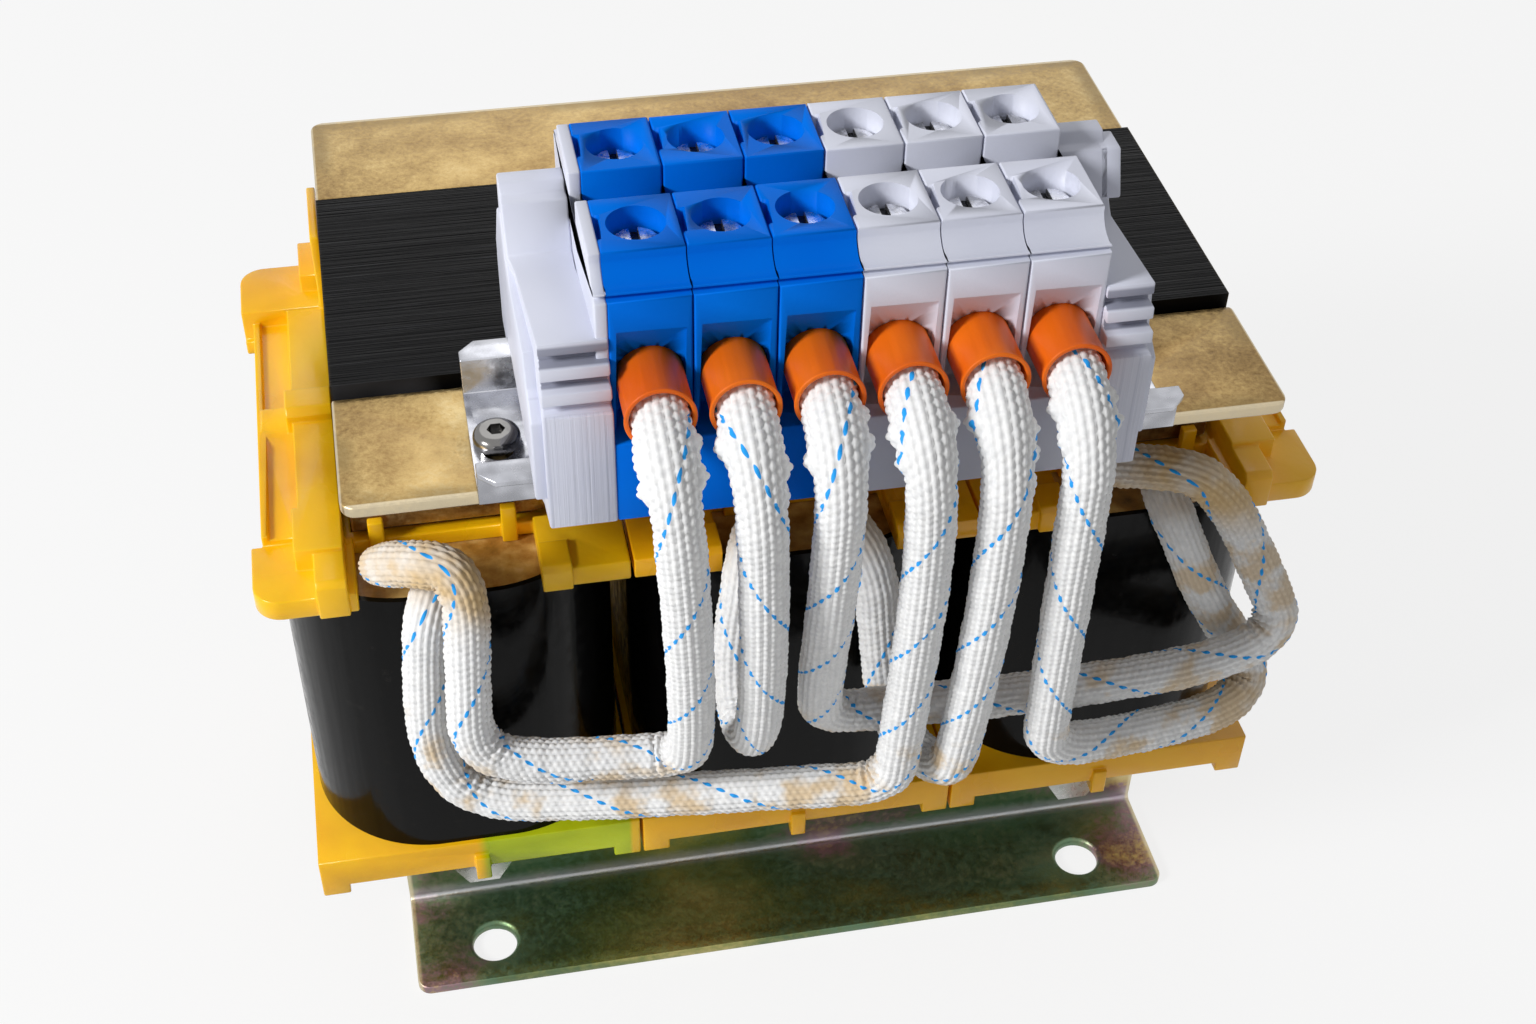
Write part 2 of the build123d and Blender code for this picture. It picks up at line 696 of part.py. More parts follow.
def end_clamp(inner):
    """The clamp whose inner face is at X = inner; it lies on the far side of that face from the terminals."""
    outer = inner - end_clamp_width
    body = along_x(end_clamp_outline(), outer, inner)
    neck = box((outer - 1, terminal_y - 1, end_clamp_shelf),
               (outer + end_clamp_step, terminal_y + end_clamp_tower_rear + 1,
                end_clamp_shelf + end_clamp_neck))
    front_neck = box((outer - 1, terminal_y - 1, end_clamp_shelf),
                     (inner + 1, terminal_y + 1, end_clamp_shelf + end_clamp_neck))
    groove = box((outer - 1, terminal_y + end_clamp_tower_rear / 3, end_clamp_top - end_clamp_top_slot),
                 (inner + 1, terminal_y + end_clamp_tower_rear / 3 + end_clamp_top_slot, end_clamp_top + 1))
    peg = box((outer + 1.2, terminal_y - 1, end_clamp_shelf + 6.0),
              (outer + 2.7, terminal_y + 1.2, end_clamp_shelf + 7.5))
    return solid_of(body - neck - front_neck - groove - peg)


# Leads
lead_routes = {
    1: [(-26.4, -79.0, 117.0), (-24.2, -70.0, 83.0), (-25.0, -62.0, 71.0), (-51.0, -60.5, 72.5),
        (-60.0, -59.5, 76.5), (-59.0, -57.5, 92.0), (-57.5, -54.0, 111.5), (-67.0, -48.8, 110.8),
        (-74.3, -41.5, 104.5)],
    2: [(-14.9, -79.0, 118.0), (-13.0, -68.0, 79.0), (-14.0, -58.0, 71.0), (-14.6, -50.5, 80.0),
        (-11.6, -49.0, 103.0), (-8.0, -38.0, 100.4)],
    3: [(-4.3, -78.0, 122.0), (-3.2, -66.5, 90.0), (0.0, -58.0, 72.0), (38.0, -57.8, 70.0),
        (72.0, -57.6, 71.0), (84.0, -56.0, 77.0), (78.8, -54.0, 88.0), (69.3, -51.0, 106.5),
        (60.5, -48.8, 111.6), (49.5, -36.5, 102.5)],
    4: [(9.5, -80.0, 128.0), (11.0, -72.0, 93.0), (11.3, -66.0, 61.0), (-38.5, -57.0, 56.5),
        (-60.5, -52.5, 55.5), (-67.0, -49.5, 67.0), (-65.8, -48.2, 86.0), (-64.2, -48.6, 100.8),
        (-55.5, -38.0, 100.3)],
    5: [(20.5, -79.0, 118.0), (22.0, -71.5, 84.0), (21.0, -66.5, 61.5), (15.0, -51.0, 57.5),
        (12.5, -47.6, 76.0), (10.0, -48.2, 101.5), (5.0, -38.0, 100.4)],
    6: [(32.2, -79.5, 124.0), (34.2, -73.5, 90.0), (37.4, -67.5, 66.0), (58.0, -62.0, 60.5),
        (78.0, -55.5, 56.3), (84.0, -49.5, 60.5), (72.5, -48.0, 77.0), (62.0, -48.4, 100.6),
        (62.5, -37.0, 100.3)],
}


def corner_radius(before, at, after):
    """The radius at a point of a route: a share of its shorter run, and a tight fold at a sharp turn."""
    a = at - before
    b = after - at
    turn = a.get_angle(b)
    radius = rule_share * min(a.length, b.length) / tan(radians(turn / 2))
    return min(radius, fold_r) if turn > fold_turn else radius


def lead(number):
    x = terminal_x[number - 1]
    route = [(x, lead_start, entry_z), (x, -82.5, entry_z)] + lead_routes[number]
    points = [Vector(*p) for p in route]
    radii = [corner_radius(*points[i - 1:i + 2]) for i in range(1, len(points) - 1)]
    path = FilletPolyline(*points, radius=radii)
    tube = sweep(Plane(origin=path @ 0, z_dir=path % 0) * Circle(lead_r), path=path)
    section = Circle(lead_r).area
    print(f"lead_{number} length {path.length:.1f} radii {[round(r, 1) for r in radii]} "
          f"volume ratio {tube.volume / (section * path.length):.4f}")
    return solid_of(tube)


def collar(x):
    """The insulating collar of a lead's ferrule, a tube with a slightly flared mouth."""
    length = collar_rear - collar_front
    tube = extrude(Circle(collar_r) - Circle(collar_bore_r), length)
    mouth = Cone(collar_r, collar_r + collar_flare, 1.2, align=(Align.CENTER, Align.CENTER, Align.MIN))
    flare = Pos(0, 0, length - 1.2) * (mouth - Cylinder(collar_bore_r, 6))
    floor = extrude(Circle(collar_bore_r) - Circle(ferrule_r), lead_start * -1 + collar_rear)
    return facing_front(x, collar_rear, entry_z) * solid_of(tube + flare + floor)


def ferrule(x):
    tip = terminal_y - clamp_offset + cage_length / 2
    return facing_front(x, tip, entry_z) * extrude(Circle(ferrule_r), tip - lead_start)


# Everything written out, one node at a time
os.makedirs("parts", exist_ok=True)

save("core_yoke_bottom", drilled(yoke(core_base), bolt_levels[0], bolt_r + sleeve_wall))
save("core_yoke_top", drilled(yoke(leg_top), bolt_levels[1], bolt_r + sleeve_wall))
coils = {"left": (-leg_pitch, -1), "middle": (0.0, 0), "right": (leg_pitch, 1)}
save("air_gap_spacers", *[s for x, _ in coils.values() for s in leg_spacers(x)])
for name, (x, side) in coils.items():
    save(f"core_leg_{name}", *leg(x))
    save(f"bobbin_{name}", bobbin(x, side))
    save(f"winding_{name}", winding(x))
    save(f"coil_wrap_{name}", coil_wrap(x))
    save(f"margin_paper_{name}", *margin_paper(x))

for name, front in (("front", -1), ("rear", 1)):
    save(f"top_angle_{name}", top_angle(front))
    save(f"foot_angle_{name}", foot_angle(front))

save("yoke_bolts", *[yoke_bolt(x, z) for x, z in bolt_places()])
save("yoke_washers", *[w for x, z in bolt_places() for w in yoke_washers(x, z)])
save("yoke_nuts", *[yoke_nut(x, z) for x, z in bolt_places()])
save("bolt_sleeves", *[bolt_sleeve(x, z) for x, z in bolt_places()])

save("mounting_rail", rail())
save("rail_screws", *[rail_screw(x) for x in (-rail_screw_x, rail_screw_x)])
save("rail_nuts", *[rail_nut(x) for x in (-rail_screw_x, rail_screw_x)])

blank = terminal_blank()
for i, x in enumerate(terminal_x):
    save(f"terminal_{i + 1}", Pos(x, 0, 0) * blank)
both_ends = [(x, sign) for x in terminal_x for sign in (-1, 1)]
save("current_bars", *[current_bar(x) for x in terminal_x])
save("clamp_cages", *[clamp_cage(x, sign) for x, sign in both_ends])
save("clamp_screws", *[clamp_screw(x, sign) for x, sign in both_ends])
save("end_plate", terminal_end_plate())
left_clamp = end_clamp(terminal_left - end_plate_thickness)
save("end_clamp_left", left_clamp)
shift = terminal_right + terminal_left - end_plate_thickness
save("end_clamp_right", Pos(shift, 0, 0) * mirror(left_clamp, Plane.YZ))

for i, x in enumerate(terminal_x):
    save(f"lead_{i + 1}", lead(i + 1))
save("wire_collars", *[collar(x) for x in terminal_x])
save("ferrules", *[ferrule(x) for x in terminal_x])
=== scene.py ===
import math

import bmesh
import bpy
import numpy as np
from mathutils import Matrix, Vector


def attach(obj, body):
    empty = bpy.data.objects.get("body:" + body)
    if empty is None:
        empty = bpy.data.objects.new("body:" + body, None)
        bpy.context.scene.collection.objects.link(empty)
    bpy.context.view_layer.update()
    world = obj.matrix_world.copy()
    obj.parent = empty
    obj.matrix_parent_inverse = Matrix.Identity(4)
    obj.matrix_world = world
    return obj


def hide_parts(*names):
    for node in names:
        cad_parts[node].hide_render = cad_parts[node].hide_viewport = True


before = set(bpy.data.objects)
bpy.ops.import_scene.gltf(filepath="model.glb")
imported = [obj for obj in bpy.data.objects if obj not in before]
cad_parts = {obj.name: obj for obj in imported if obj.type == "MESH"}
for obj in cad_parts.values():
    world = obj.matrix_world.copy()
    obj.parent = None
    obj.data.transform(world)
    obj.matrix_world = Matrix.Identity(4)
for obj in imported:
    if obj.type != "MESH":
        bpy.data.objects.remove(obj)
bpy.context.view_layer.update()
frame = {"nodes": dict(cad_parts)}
nodes = frame["nodes"]

MM = 0.001

# The camera stands in front of the left half and looks down on the terminals
CAMERA_PLACE = (-0.06176, -0.29464, 0.33209)
CAMERA_TURN = (46.297, -1.052, -11.173)
LENS = 48.62
SENSOR = 36.0
SHIFT = (0.0027, 0.0573)

# Every lead starts inside its collar, runs straight out and bends down
TERMINAL_X = [-0.029 + 0.012 * i for i in range(6)]
ENTRY_Z = 0.152
LEAD_START = -0.063
LEAD_KNEE = -0.0825

# The leads' routes from there to the coils, in metres: those of part.py, with a few points moved or added
LEAD_ROUTES = {
    1: [(-0.0264, -0.079, 0.117), (-0.0243, -0.0689, 0.0814), (-0.025, -0.062, 0.071),
        (-0.0375, -0.0613, 0.0717), (-0.051, -0.0605, 0.0725), (-0.060, -0.0595, 0.0765),
        (-0.059, -0.0575, 0.092), (-0.0575, -0.054, 0.1115), (-0.067, -0.0488, 0.1098),
        (-0.0722, -0.0405, 0.1022)],
    2: [(-0.0149, -0.079, 0.118), (-0.013, -0.068, 0.079), (-0.014, -0.058, 0.071),
        (-0.0146, -0.0505, 0.080), (-0.0116, -0.049, 0.103), (-0.008, -0.038, 0.1004)],
    3: [(-0.0043, -0.078, 0.122), (-0.0025, -0.0648, 0.0857), (0.0, -0.058, 0.072),
        (0.015, -0.0579, 0.0712), (0.038, -0.0578, 0.070), (0.072, -0.0576, 0.071),
        (0.084, -0.056, 0.077), (0.0788, -0.054, 0.088), (0.0693, -0.051, 0.1065),
        (0.0605, -0.0488, 0.1116), (0.0495, -0.0365, 0.1025)],
    4: [(0.0095, -0.080, 0.128), (0.0112, -0.0688, 0.0757), (0.0113, -0.066, 0.061),
        (-0.0034, -0.0633, 0.0597), (-0.0385, -0.057, 0.0565), (-0.0605, -0.0525, 0.0555),
        (-0.067, -0.0495, 0.067), (-0.0658, -0.0482, 0.086), (-0.0642, -0.0486, 0.1005),
        (-0.0600, -0.0385, 0.0985)],
    5: [(0.0205, -0.079, 0.118), (0.0216, -0.0697, 0.0755), (0.021, -0.0665, 0.0615),
        (0.015, -0.051, 0.0575), (0.0125, -0.0476, 0.076), (0.010, -0.0482, 0.1015),
        (0.005, -0.038, 0.1004)],
    6: [(0.0322, -0.0795, 0.124), (0.0357, -0.0710, 0.0802), (0.0374, -0.0675, 0.066),
        (0.058, -0.062, 0.0605), (0.078, -0.0555, 0.0563), (0.084, -0.0495, 0.0605),
        (0.0725, -0.048, 0.077), (0.062, -0.0484, 0.1006), (0.0625, -0.037, 0.1003)],
}

# A sleeve is wide where it is pushed together below its collar, then drawn thin, and closes over its end
SLEEVE_R = 0.0038
WIDE_R = 0.0042
THIN_R = 0.0036
WIDE_UNTIL = 0.0135
THIN_FROM = 0.0215
TAPER_LENGTH = 0.008
END_SHARE = 0.45
WANDER_DEPTH = 0.00012

# The knit: lengthwise columns of short stitches, in brick offset
COLUMNS = 20
STITCH = 0.00135
STITCH_RISE = 0.00024
VERTS_PER_COLUMN = 4
RINGS_PER_STITCH = 4
RINGS_PER_PATH_POINT = 6

# Folds on the inner side of a bend, from the bend (in radians a metre) where they start, over this range
CREASE_DEPTH = 0.00055
CREASE_SPACING = 0.0027
CREASE_WINDOW = 13
CREASE_BEND = 45.0
CREASE_RANGE = 70.0

# The blue tracer: millimetres in a turn, threads side by side, half a dash's length and its width in columns
TRACER_PITCH = 46.0
TRACERS = 2
DASH_LENGTH = 0.6
DASH_WIDTH = 0.38
DASH_SLANT = 1.4

# Each sleeve's tracer starts elsewhere, in millimetres along and whole columns round, and winds right or left
TRACER_STARTS = {1: (4.0, 0), 2: (15.0, 5), 3: (9.0, 11), 4: (21.0, 3), 5: (13.0, 8), 6: (27.0, 14)}
TRACER_HANDS = {1: 1, 2: -1, 3: 1, 4: 1, 5: 1, 6: -1}

# Where a sleeve is crumpled: distance along it, turn round it in degrees (0 left, 90 under, 180 right),
# height and size, the others in millimetres
CRUMPLES = {
    1: [(12.5, 178, 1.0, 1.3), (17.5, 186, 1.3, 1.4), (18.5, 8, 1.2, 1.4), (14.0, 20, 0.5, 2.6)],
    2: [(13.5, 2, 1.1, 1.6), (17.5, 184, 1.2, 1.4), (21.5, 176, 0.6, 1.5)],
    3: [(11.5, 180, 1.1, 1.3), (15.6, 182, 1.3, 1.5), (17.0, 2, 1.2, 1.3)],
    4: [(15.0, 4, 1.1, 1.3), (19.0, 2, 1.0, 1.2), (14.8, 182, 1.1, 1.5), (20.0, 184, 0.5, 1.4)],
    5: [(13.8, 6, 1.2, 1.4), (16.0, 182, 1.1, 1.2), (19.4, 182, 1.2, 1.4), (23.5, 186, 0.5, 1.4)],
    6: [(13.5, 2, 1.1, 1.4), (18.5, 358, 0.8, 1.3), (13.0, 180, 1.1, 1.3), (16.4, 184, 1.2, 1.2)],
}
CRUMPLE_ROUND = 1.1


def add_camera():
    data = bpy.data.cameras.new("camera")
    camera = bpy.data.objects.new("camera", data)
    bpy.context.scene.collection.objects.link(camera)
    camera.location = CAMERA_PLACE
    camera.rotation_euler = [math.radians(a) for a in CAMERA_TURN]
    data.sensor_fit = "HORIZONTAL"
    data.sensor_width = SENSOR
    data.lens = LENS
    data.shift_x, data.shift_y = SHIFT
    bpy.context.scene.camera = camera


def route_points(number):
    x = TERMINAL_X[number - 1]
    return [(x, LEAD_START, ENTRY_Z), (x, LEAD_KNEE, ENTRY_Z)] + LEAD_ROUTES[number]


def smooth_line(points):
    """The points along the smooth line that these control points make."""
    data = bpy.data.curves.new("route", "CURVE")
    data.dimensions = "3D"
    spline = data.splines.new("NURBS")
    spline.points.add(len(points) - 1)
    for at, point in zip(spline.points, points):
        at.co = (*point, 1)
    spline.order_u = 3
    spline.use_endpoint_u = True
    spline.resolution_u = 24
    route = bpy.data.objects.new("route", data)
    line = bpy.data.meshes.new_from_object(route)
    out = np.array([v.co[:] for v in line.vertices])
    bpy.data.objects.remove(route)
    bpy.data.curves.remove(data)
    bpy.data.meshes.remove(line)
    return out


def evenly(line, step):
    """The line's points again, at even distances near step, and the distance of each from the start."""
    runs = np.linalg.norm(np.diff(line, axis=0), axis=1)
    along = np.concatenate([[0], np.cumsum(runs)])
    count = max(2, round(along[-1] / step))
    at = np.linspace(0, along[-1], count + 1)
    return np.stack([np.interp(at, along, line[:, k]) for k in range(3)], axis=1), at


def carried_frames(centres):
    """The line's directions, and the two directions across it, carried along without twist."""
    tangents = np.gradient(centres, axis=0)
    tangents /= np.linalg.norm(tangents, axis=1)[:, None]
    side = np.cross(tangents[0], (0.0, 0.0, 1.0))
    sides = []
    for tangent in tangents:
        side = side - tangent * side.dot(tangent)
        side /= np.linalg.norm(side)
        sides.append(side)
    sides = np.array(sides)
    return tangents, sides, np.cross(tangents, sides)


def knit_rise(s, turn):
    """How far the knitted stitches stand out, over the length and round the sleeve."""
    column = turn * COLUMNS / (2 * math.pi)
    across = np.abs((column % 1.0) - 0.5) * 2
    ridge = np.sqrt(np.clip(1 - across ** 2, 0, 1))
    row = s / STITCH + 0.5 * (np.floor(column) % 2)
    bead = np.sqrt(np.abs(np.cos(math.pi * row)))
    return STITCH_RISE * (1.9 * ridge ** 0.8 * (0.15 + 0.85 * bead) - 0.95)


def creases(s, turn, tangents, sides, ups):
    """Small folds on the inner side of each bend, deeper where it bends more."""
    window = np.ones(CREASE_WINDOW) / CREASE_WINDOW
    bend = np.gradient(tangents, s[:, 0], axis=0)
    bend = np.stack([np.convolve(bend[:, k], window, mode="same") for k in range(3)], axis=1)
    amount = np.linalg.norm(bend, axis=1)[:, None]
    inner = np.arctan2((bend * ups).sum(axis=1), (bend * sides).sum(axis=1))[:, None]
    facing = np.clip(np.cos(turn - inner), 0, 1) ** 1.5
    share = np.clip((amount - CREASE_BEND) / CREASE_RANGE, 0, 1)
    return CREASE_DEPTH * share * facing * np.cos(s * 2 * math.pi / CREASE_SPACING)


def wander(s, number):
    """A slow unevenness between about -1 and 1 along a sleeve, different for each."""
    s = s / MM
    waves = np.sin(s * 0.9 + number) + np.sin(s * 0.37 + 2.1 * number) + np.sin(s * 1.7 + 0.7 * number)
    return waves / 2.4


def sleeve_radius(number, s, turn, directions):
    """A sleeve's radius for each distance along it and each turn round it."""
    drop = np.clip((s - WIDE_UNTIL) / (THIN_FROM - WIDE_UNTIL), 0, 1)
    radius = WIDE_R + (THIN_R - WIDE_R) * drop * drop * (3 - 2 * drop) + knit_rise(s, turn)
    for distance, degrees, height, size in CRUMPLES[number]:
        off = (turn - math.radians(degrees) + math.pi) % (2 * math.pi) - math.pi
        lengthwise = (s - distance * MM) / (size * MM)
        crosswise = off * SLEEVE_R / (size * MM * CRUMPLE_ROUND)
        radius = radius + height * MM * np.exp(-lengthwise ** 2 - crosswise ** 2)
    radius = radius + wander(s, number) * WANDER_DEPTH + creases(s, turn, *directions)
    to_end = np.clip((s[-1] - s) / TAPER_LENGTH, 0, 1)
    return radius * (END_SHARE + (1 - END_SHARE) * np.sqrt(to_end * (2 - to_end)))


def closed_tube(name, centres, points):
    """A mesh through rings of points, with both ends closed on the line's own ends."""
    rings, count = points.shape[:2]
    verts = np.concatenate([points.reshape(-1, 3), centres[:1], centres[-1:]])
    ring = np.arange(rings - 1)[:, None] * count
    here = np.arange(count)[None, :]
    there = (here + 1) % count
    quads = np.stack([ring + here, ring + there, ring + count + there, ring + count + here], axis=-1)
    start, end, last_ring = rings * count, rings * count + 1, (rings - 1) * count
    caps = [(start, (i + 1) % count, i) for i in range(count)]
    caps += [(end, last_ring + i, last_ring + (i + 1) % count) for i in range(count)]
    mesh = bpy.data.meshes.new(name)
    mesh.from_pydata(verts.tolist(), [], quads.reshape(-1, 4).tolist() + caps)
    return mesh


def map_knit(mesh, number, along, count):
    """A UV map in millimetres along the sleeve and in columns round it, for the tracer."""
    start, first_column = TRACER_STARTS[number]
    us = along / MM + start
    u = np.stack([us[:-1], us[:-1], us[1:], us[1:]], axis=-1)
    u = np.repeat(u[:, None, :], count, axis=1).reshape(-1)
    vs = np.arange(count) / VERTS_PER_COLUMN + first_column
    next_vs = vs + 1 / VERTS_PER_COLUMN
    v = np.stack([vs, next_vs, next_vs, vs], axis=-1) * TRACER_HANDS[number]
    v = np.repeat(v[None], len(along) - 1, axis=0).reshape(-1)
    uv = np.zeros((len(mesh.loops), 2))
    uv[:len(u), 0] = u
    uv[:len(v), 1] = v
    mesh.uv_layers.new(name="knit").data.foreach_set("uv", uv.reshape(-1))


def sleeve(number):
    """A lead's knitted sleeve as a tube on its smooth route, and points of that route."""
    centres, along = evenly(smooth_line(route_points(number)), STITCH / RINGS_PER_STITCH)
    tangents, sides, ups = carried_frames(centres)
    count = COLUMNS * VERTS_PER_COLUMN
    turn = (np.arange(count) * 2 * math.pi / count)[None, :]
    radius = sleeve_radius(number, along[:, None], turn, (tangents, sides, ups))
    outward = np.cos(turn)[..., None] * sides[:, None, :] + np.sin(turn)[..., None] * ups[:, None, :]
    mesh = closed_tube(f"sleeve_{number}", centres, centres[:, None, :] + radius[..., None] * outward)
    map_knit(mesh, number, along, count)
    mesh.update()
    mesh.shade_smooth()
    piece = bpy.data.objects.new(f"sleeve_{number}", mesh)
    bpy.context.scene.collection.objects.link(piece)
    rings = len(centres)
    kept = np.linspace(0, rings - 1, rings // RINGS_PER_PATH_POINT).round().astype(int)
    return piece, [tuple(centres[i]) for i in kept]


add_camera()

sleeves = []
for number in LEAD_ROUTES:
    piece, path = sleeve(number)
    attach(piece, "root")
    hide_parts(f"lead_{number}")
    sleeves.append(piece)


class Value:
    """A socket, with the arithmetic that the finishes are written in."""

    def __init__(self, nodes, socket):
        self.nodes = nodes
        self.socket = socket

    def maths(self, operation, *others):
        return self.nodes.node("Math", dict(enumerate((self,) + others)), operation=operation)

    def __add__(self, other):
        return self.maths("ADD", other)

    def __sub__(self, other):
        return self.maths("SUBTRACT", other)

    def __rsub__(self, other):
        return self.nodes.node("Math", {0: other, 1: self}, operation="SUBTRACT")

    def __mul__(self, other):
        return self.maths("MULTIPLY", other)

    def __truediv__(self, other):
        return self.maths("DIVIDE", other)

    def __pow__(self, other):
        return self.maths("POWER", other)

    def __mod__(self, other):
        return self.maths("FLOORED_MODULO", other)

    def __abs__(self):
        return self.maths("ABSOLUTE")

    def __or__(self, other):
        return self.maths("MAXIMUM", other)

    __radd__ = __add__
    __rmul__ = __mul__
    __ror__ = __or__

    def step(self, low, high, start=0.0, end=1.0):
        """This value carried smoothly from start to end while it goes from low to high."""
        return self.nodes.node("MapRange", {0: self, 1: low, 2: high, 3: start, 4: end},
                               interpolation_type="SMOOTHSTEP")


class Nodes:
    """A node tree, and the one method that makes its nodes."""

    def __init__(self, tree):
        self.tree = tree

    def node(self, kind, sockets=None, out=0, stops=None, **settings):
        """A new node's output, or several where out names several. Its settings are set first."""
        made = self.tree.nodes.new("ShaderNode" + kind)
        for setting, value in settings.items():
            setattr(made, setting, value)
        if stops:
            elements = made.color_ramp.elements
            while len(elements) < len(stops):
                elements.new(1.0)
            for element, (at, colour) in zip(elements, stops):
                element.position = at
                element.color = (*colour, 1)
        for key, value in (sockets or {}).items():
            self.feed(made.inputs[key], value)
        if isinstance(out, tuple):
            return [Value(self, made.outputs[key]) for key in out]
        return Value(self, made.outputs[out]) if made.outputs else None

    def feed(self, socket, value):
        if isinstance(value, Value):
            self.tree.links.new(value.socket, socket)
        elif socket.type == "RGBA":
            socket.default_value = (*value, 1)
        else:
            socket.default_value = value

    def shown_white(self):
        """1 for the camera, in reflections and through glass, where the studio shows white."""
        camera, glossy, through = self.node("LightPath",
                                            out=("Is Camera Ray", "Is Glossy Ray", "Is Transmission Ray"))
        return camera | glossy | through


class Finish(Nodes):
    """One material and its shader."""

    def __init__(self, name, **constants):
        self.material = bpy.data.materials.new(name)
        self.material.use_nodes = True
        super().__init__(self.material.node_tree)
        self.shader = self.tree.nodes["Principled BSDF"]
        for words, value in constants.items():
            self.give(words, value)
        self.place = self.node("TexCoord", out="Object")

    def give(self, words, value):
        self.feed(self.shader.inputs[words.replace("_", " ").title().replace("Ior", "IOR")], value)

    def xyz(self):
        """The place on the object, as three values in millimetres."""
        return [v * 1000.0 for v in self.node("SeparateXYZ", {0: self.place}, out=(0, 1, 2))]

    def stretched(self, scale):
        return self.node("Mapping", {"Vector": self.place, "Scale": scale})

    def noise(self, scale, detail=2.0, roughness=0.5, vector=None):
        sockets = {"Vector": vector or self.place, "Scale": scale, "Detail": detail, "Roughness": roughness}
        return self.node("TexNoise", sockets)

    def mix(self, factor, first, second):
        """A colour between two; 6 and 7 are the Mix node's colour inputs, and 2 is its colour output."""
        return self.node("Mix", {0: factor, 6: first, 7: second}, out=2, data_type="RGBA")

    def ramp(self, factor, stops):
        return self.node("ValToRGB", {0: factor}, stops=stops)

    def bump(self, height, distance, strength):
        return self.node("Bump", {"Height": height, "Distance": distance, "Strength": strength})


# Where the finishes change, in millimetres, from the first value to the second
CORE_END_X = (74.6, 74.9)
# The upper angles' rims, where their painted highlight lies
TOP_HIGHLIGHT_X, TOP_HIGHLIGHT_Y = (74.5, 74.8), (54.5, 54.8)
TOP_WORN_X, TOP_WORN_Y = (70.5, 73.6), (51.0, 53.8)
FOOT_RIM_X, FOOT_RIM_Y = (73.9, 74.5), (54.0, 54.6)
FOOT_END_X = (52.0, 72.0)
# The feet's bend, where its painted highlight lies
FOOT_HIGHLIGHT_Y, FOOT_HIGHLIGHT_Z = (31.0, 28.5), (6.0, 3.0)
LIME_LEFT_X, LIME_RIGHT_X = (-61.0, -58.5), (-31.5, -32.5)
LIME_Y, LIME_Z = (-26.0, -28.0), (35.5, 33.5)
TERMINAL_PITCH, TERMINAL_EDGE = 12.0, 35.0
# The screw slots and head flanks, where their painted shade lies
SLOT_WIDTH, SLOT_Z, HEAD_FLANK_Z = (0.75, 0.6), (168.05, 167.8), (167.5, 166.8)
CLAMP_FRONT_Y = (-67.2, -67.7)
# The gaps between the clamp ribs, where their painted shade lies
RIB_FRONT_Y, RIB_ROOT_Y = (-65.9, -65.3), (-62.4, -62.9)
RIB_LOW_Z, RIB_HIGH_Z = (150.0, 150.5), (160.6, 160.0)
SOAKED_Y, SOAKED_Z = (-64.0, -57.0), (97.0, 107.0)
ELBOW_Z, LOOP_X = (84.0, 68.0), (58.0, 66.0)


def lacquered_core():
    """Black lacquer over the edges of the stacked sheets: painted glints as fine threads of light along them, and
    slightly worn ends.
    """
    f = Finish("core_lacquer", specular_ior_level=0.06)
    x, y, z = f.xyz()
    sheets = f.noise(1.0, 3.0, 0.6, f.stretched((9.0, 1900.0, 9.0)))
    threads = f.noise(1.0, 2.0, 0.5, f.stretched((38.0, 2400.0, 38.0)))
    wear = f.noise(330.0, 5.0, 0.7)
    stain = f.noise(70.0, 3.0, 0.6)
    ends = abs(x).step(*CORE_END_X)
    # Painted highlight: lighter grey threads in the black colour stand in for glints of light on the sheet edges
    painted_glints = threads.step(0.62, 0.74) * 0.75
    black = f.mix(painted_glints, (0.0015, 0.0015, 0.0018), (0.04, 0.041, 0.046))
    stops = [(0.42, (0.004, 0.004, 0.004)), (0.54, (0.035, 0.025, 0.012)), (0.66, (0.14, 0.10, 0.045))]
    worn = f.ramp(wear * 0.3 + stain * 0.3 + sheets * 0.4, stops)
    f.give("base_color", f.mix(ends * 0.85, black, worn))
    f.give("metallic", ends * 0.3)
    f.give("roughness", sheets.step(0.3, 0.7, 0.3, 0.5))
    f.give("normal", f.bump(sheets * 0.8 + threads * 0.5, 0.0006, 0.9))
    return f.material


def amber_moulding(name, tint, lime=False):
    """Glossy amber moulding, a little cloudy; lime gives the left one its green foot."""
    f = Finish(name, specular_ior_level=0.3, coat_weight=0.12, coat_roughness=0.1, subsurface_weight=0.12,
               subsurface_scale=0.004, subsurface_radius=(1.0, 0.45, 0.05))
    cloud = f.noise(38.0, 3.0, 0.55)
    fine = f.noise(900.0, 2.0, 0.5)
    deep = (tint[0] * 0.86, tint[1] * 0.78, tint[2])
    pale = (min(1.0, tint[0] * 1.04), tint[1] * 1.13, tint[2] + 0.012)
    colour = f.ramp(cloud, [(0.3, deep), (0.5, tint), (0.72, pale)])
    if lime:
        x, y, z = f.xyz()
        patch = x.step(*LIME_LEFT_X) * x.step(*LIME_RIGHT_X) * z.step(*LIME_Z) * y.step(*LIME_Y)
        green = f.ramp(cloud, [(0.3, (0.30, 0.40, 0.0)), (0.7, (0.52, 0.62, 0.01))])
        colour = f.mix(patch, colour, green)
    f.give("base_color", colour)
    f.give("roughness", cloud.step(0.3, 0.7, 0.22, 0.36))
    f.give("normal", f.bump(fine + cloud * 2.0, 0.00012, 0.35))
    return f.material


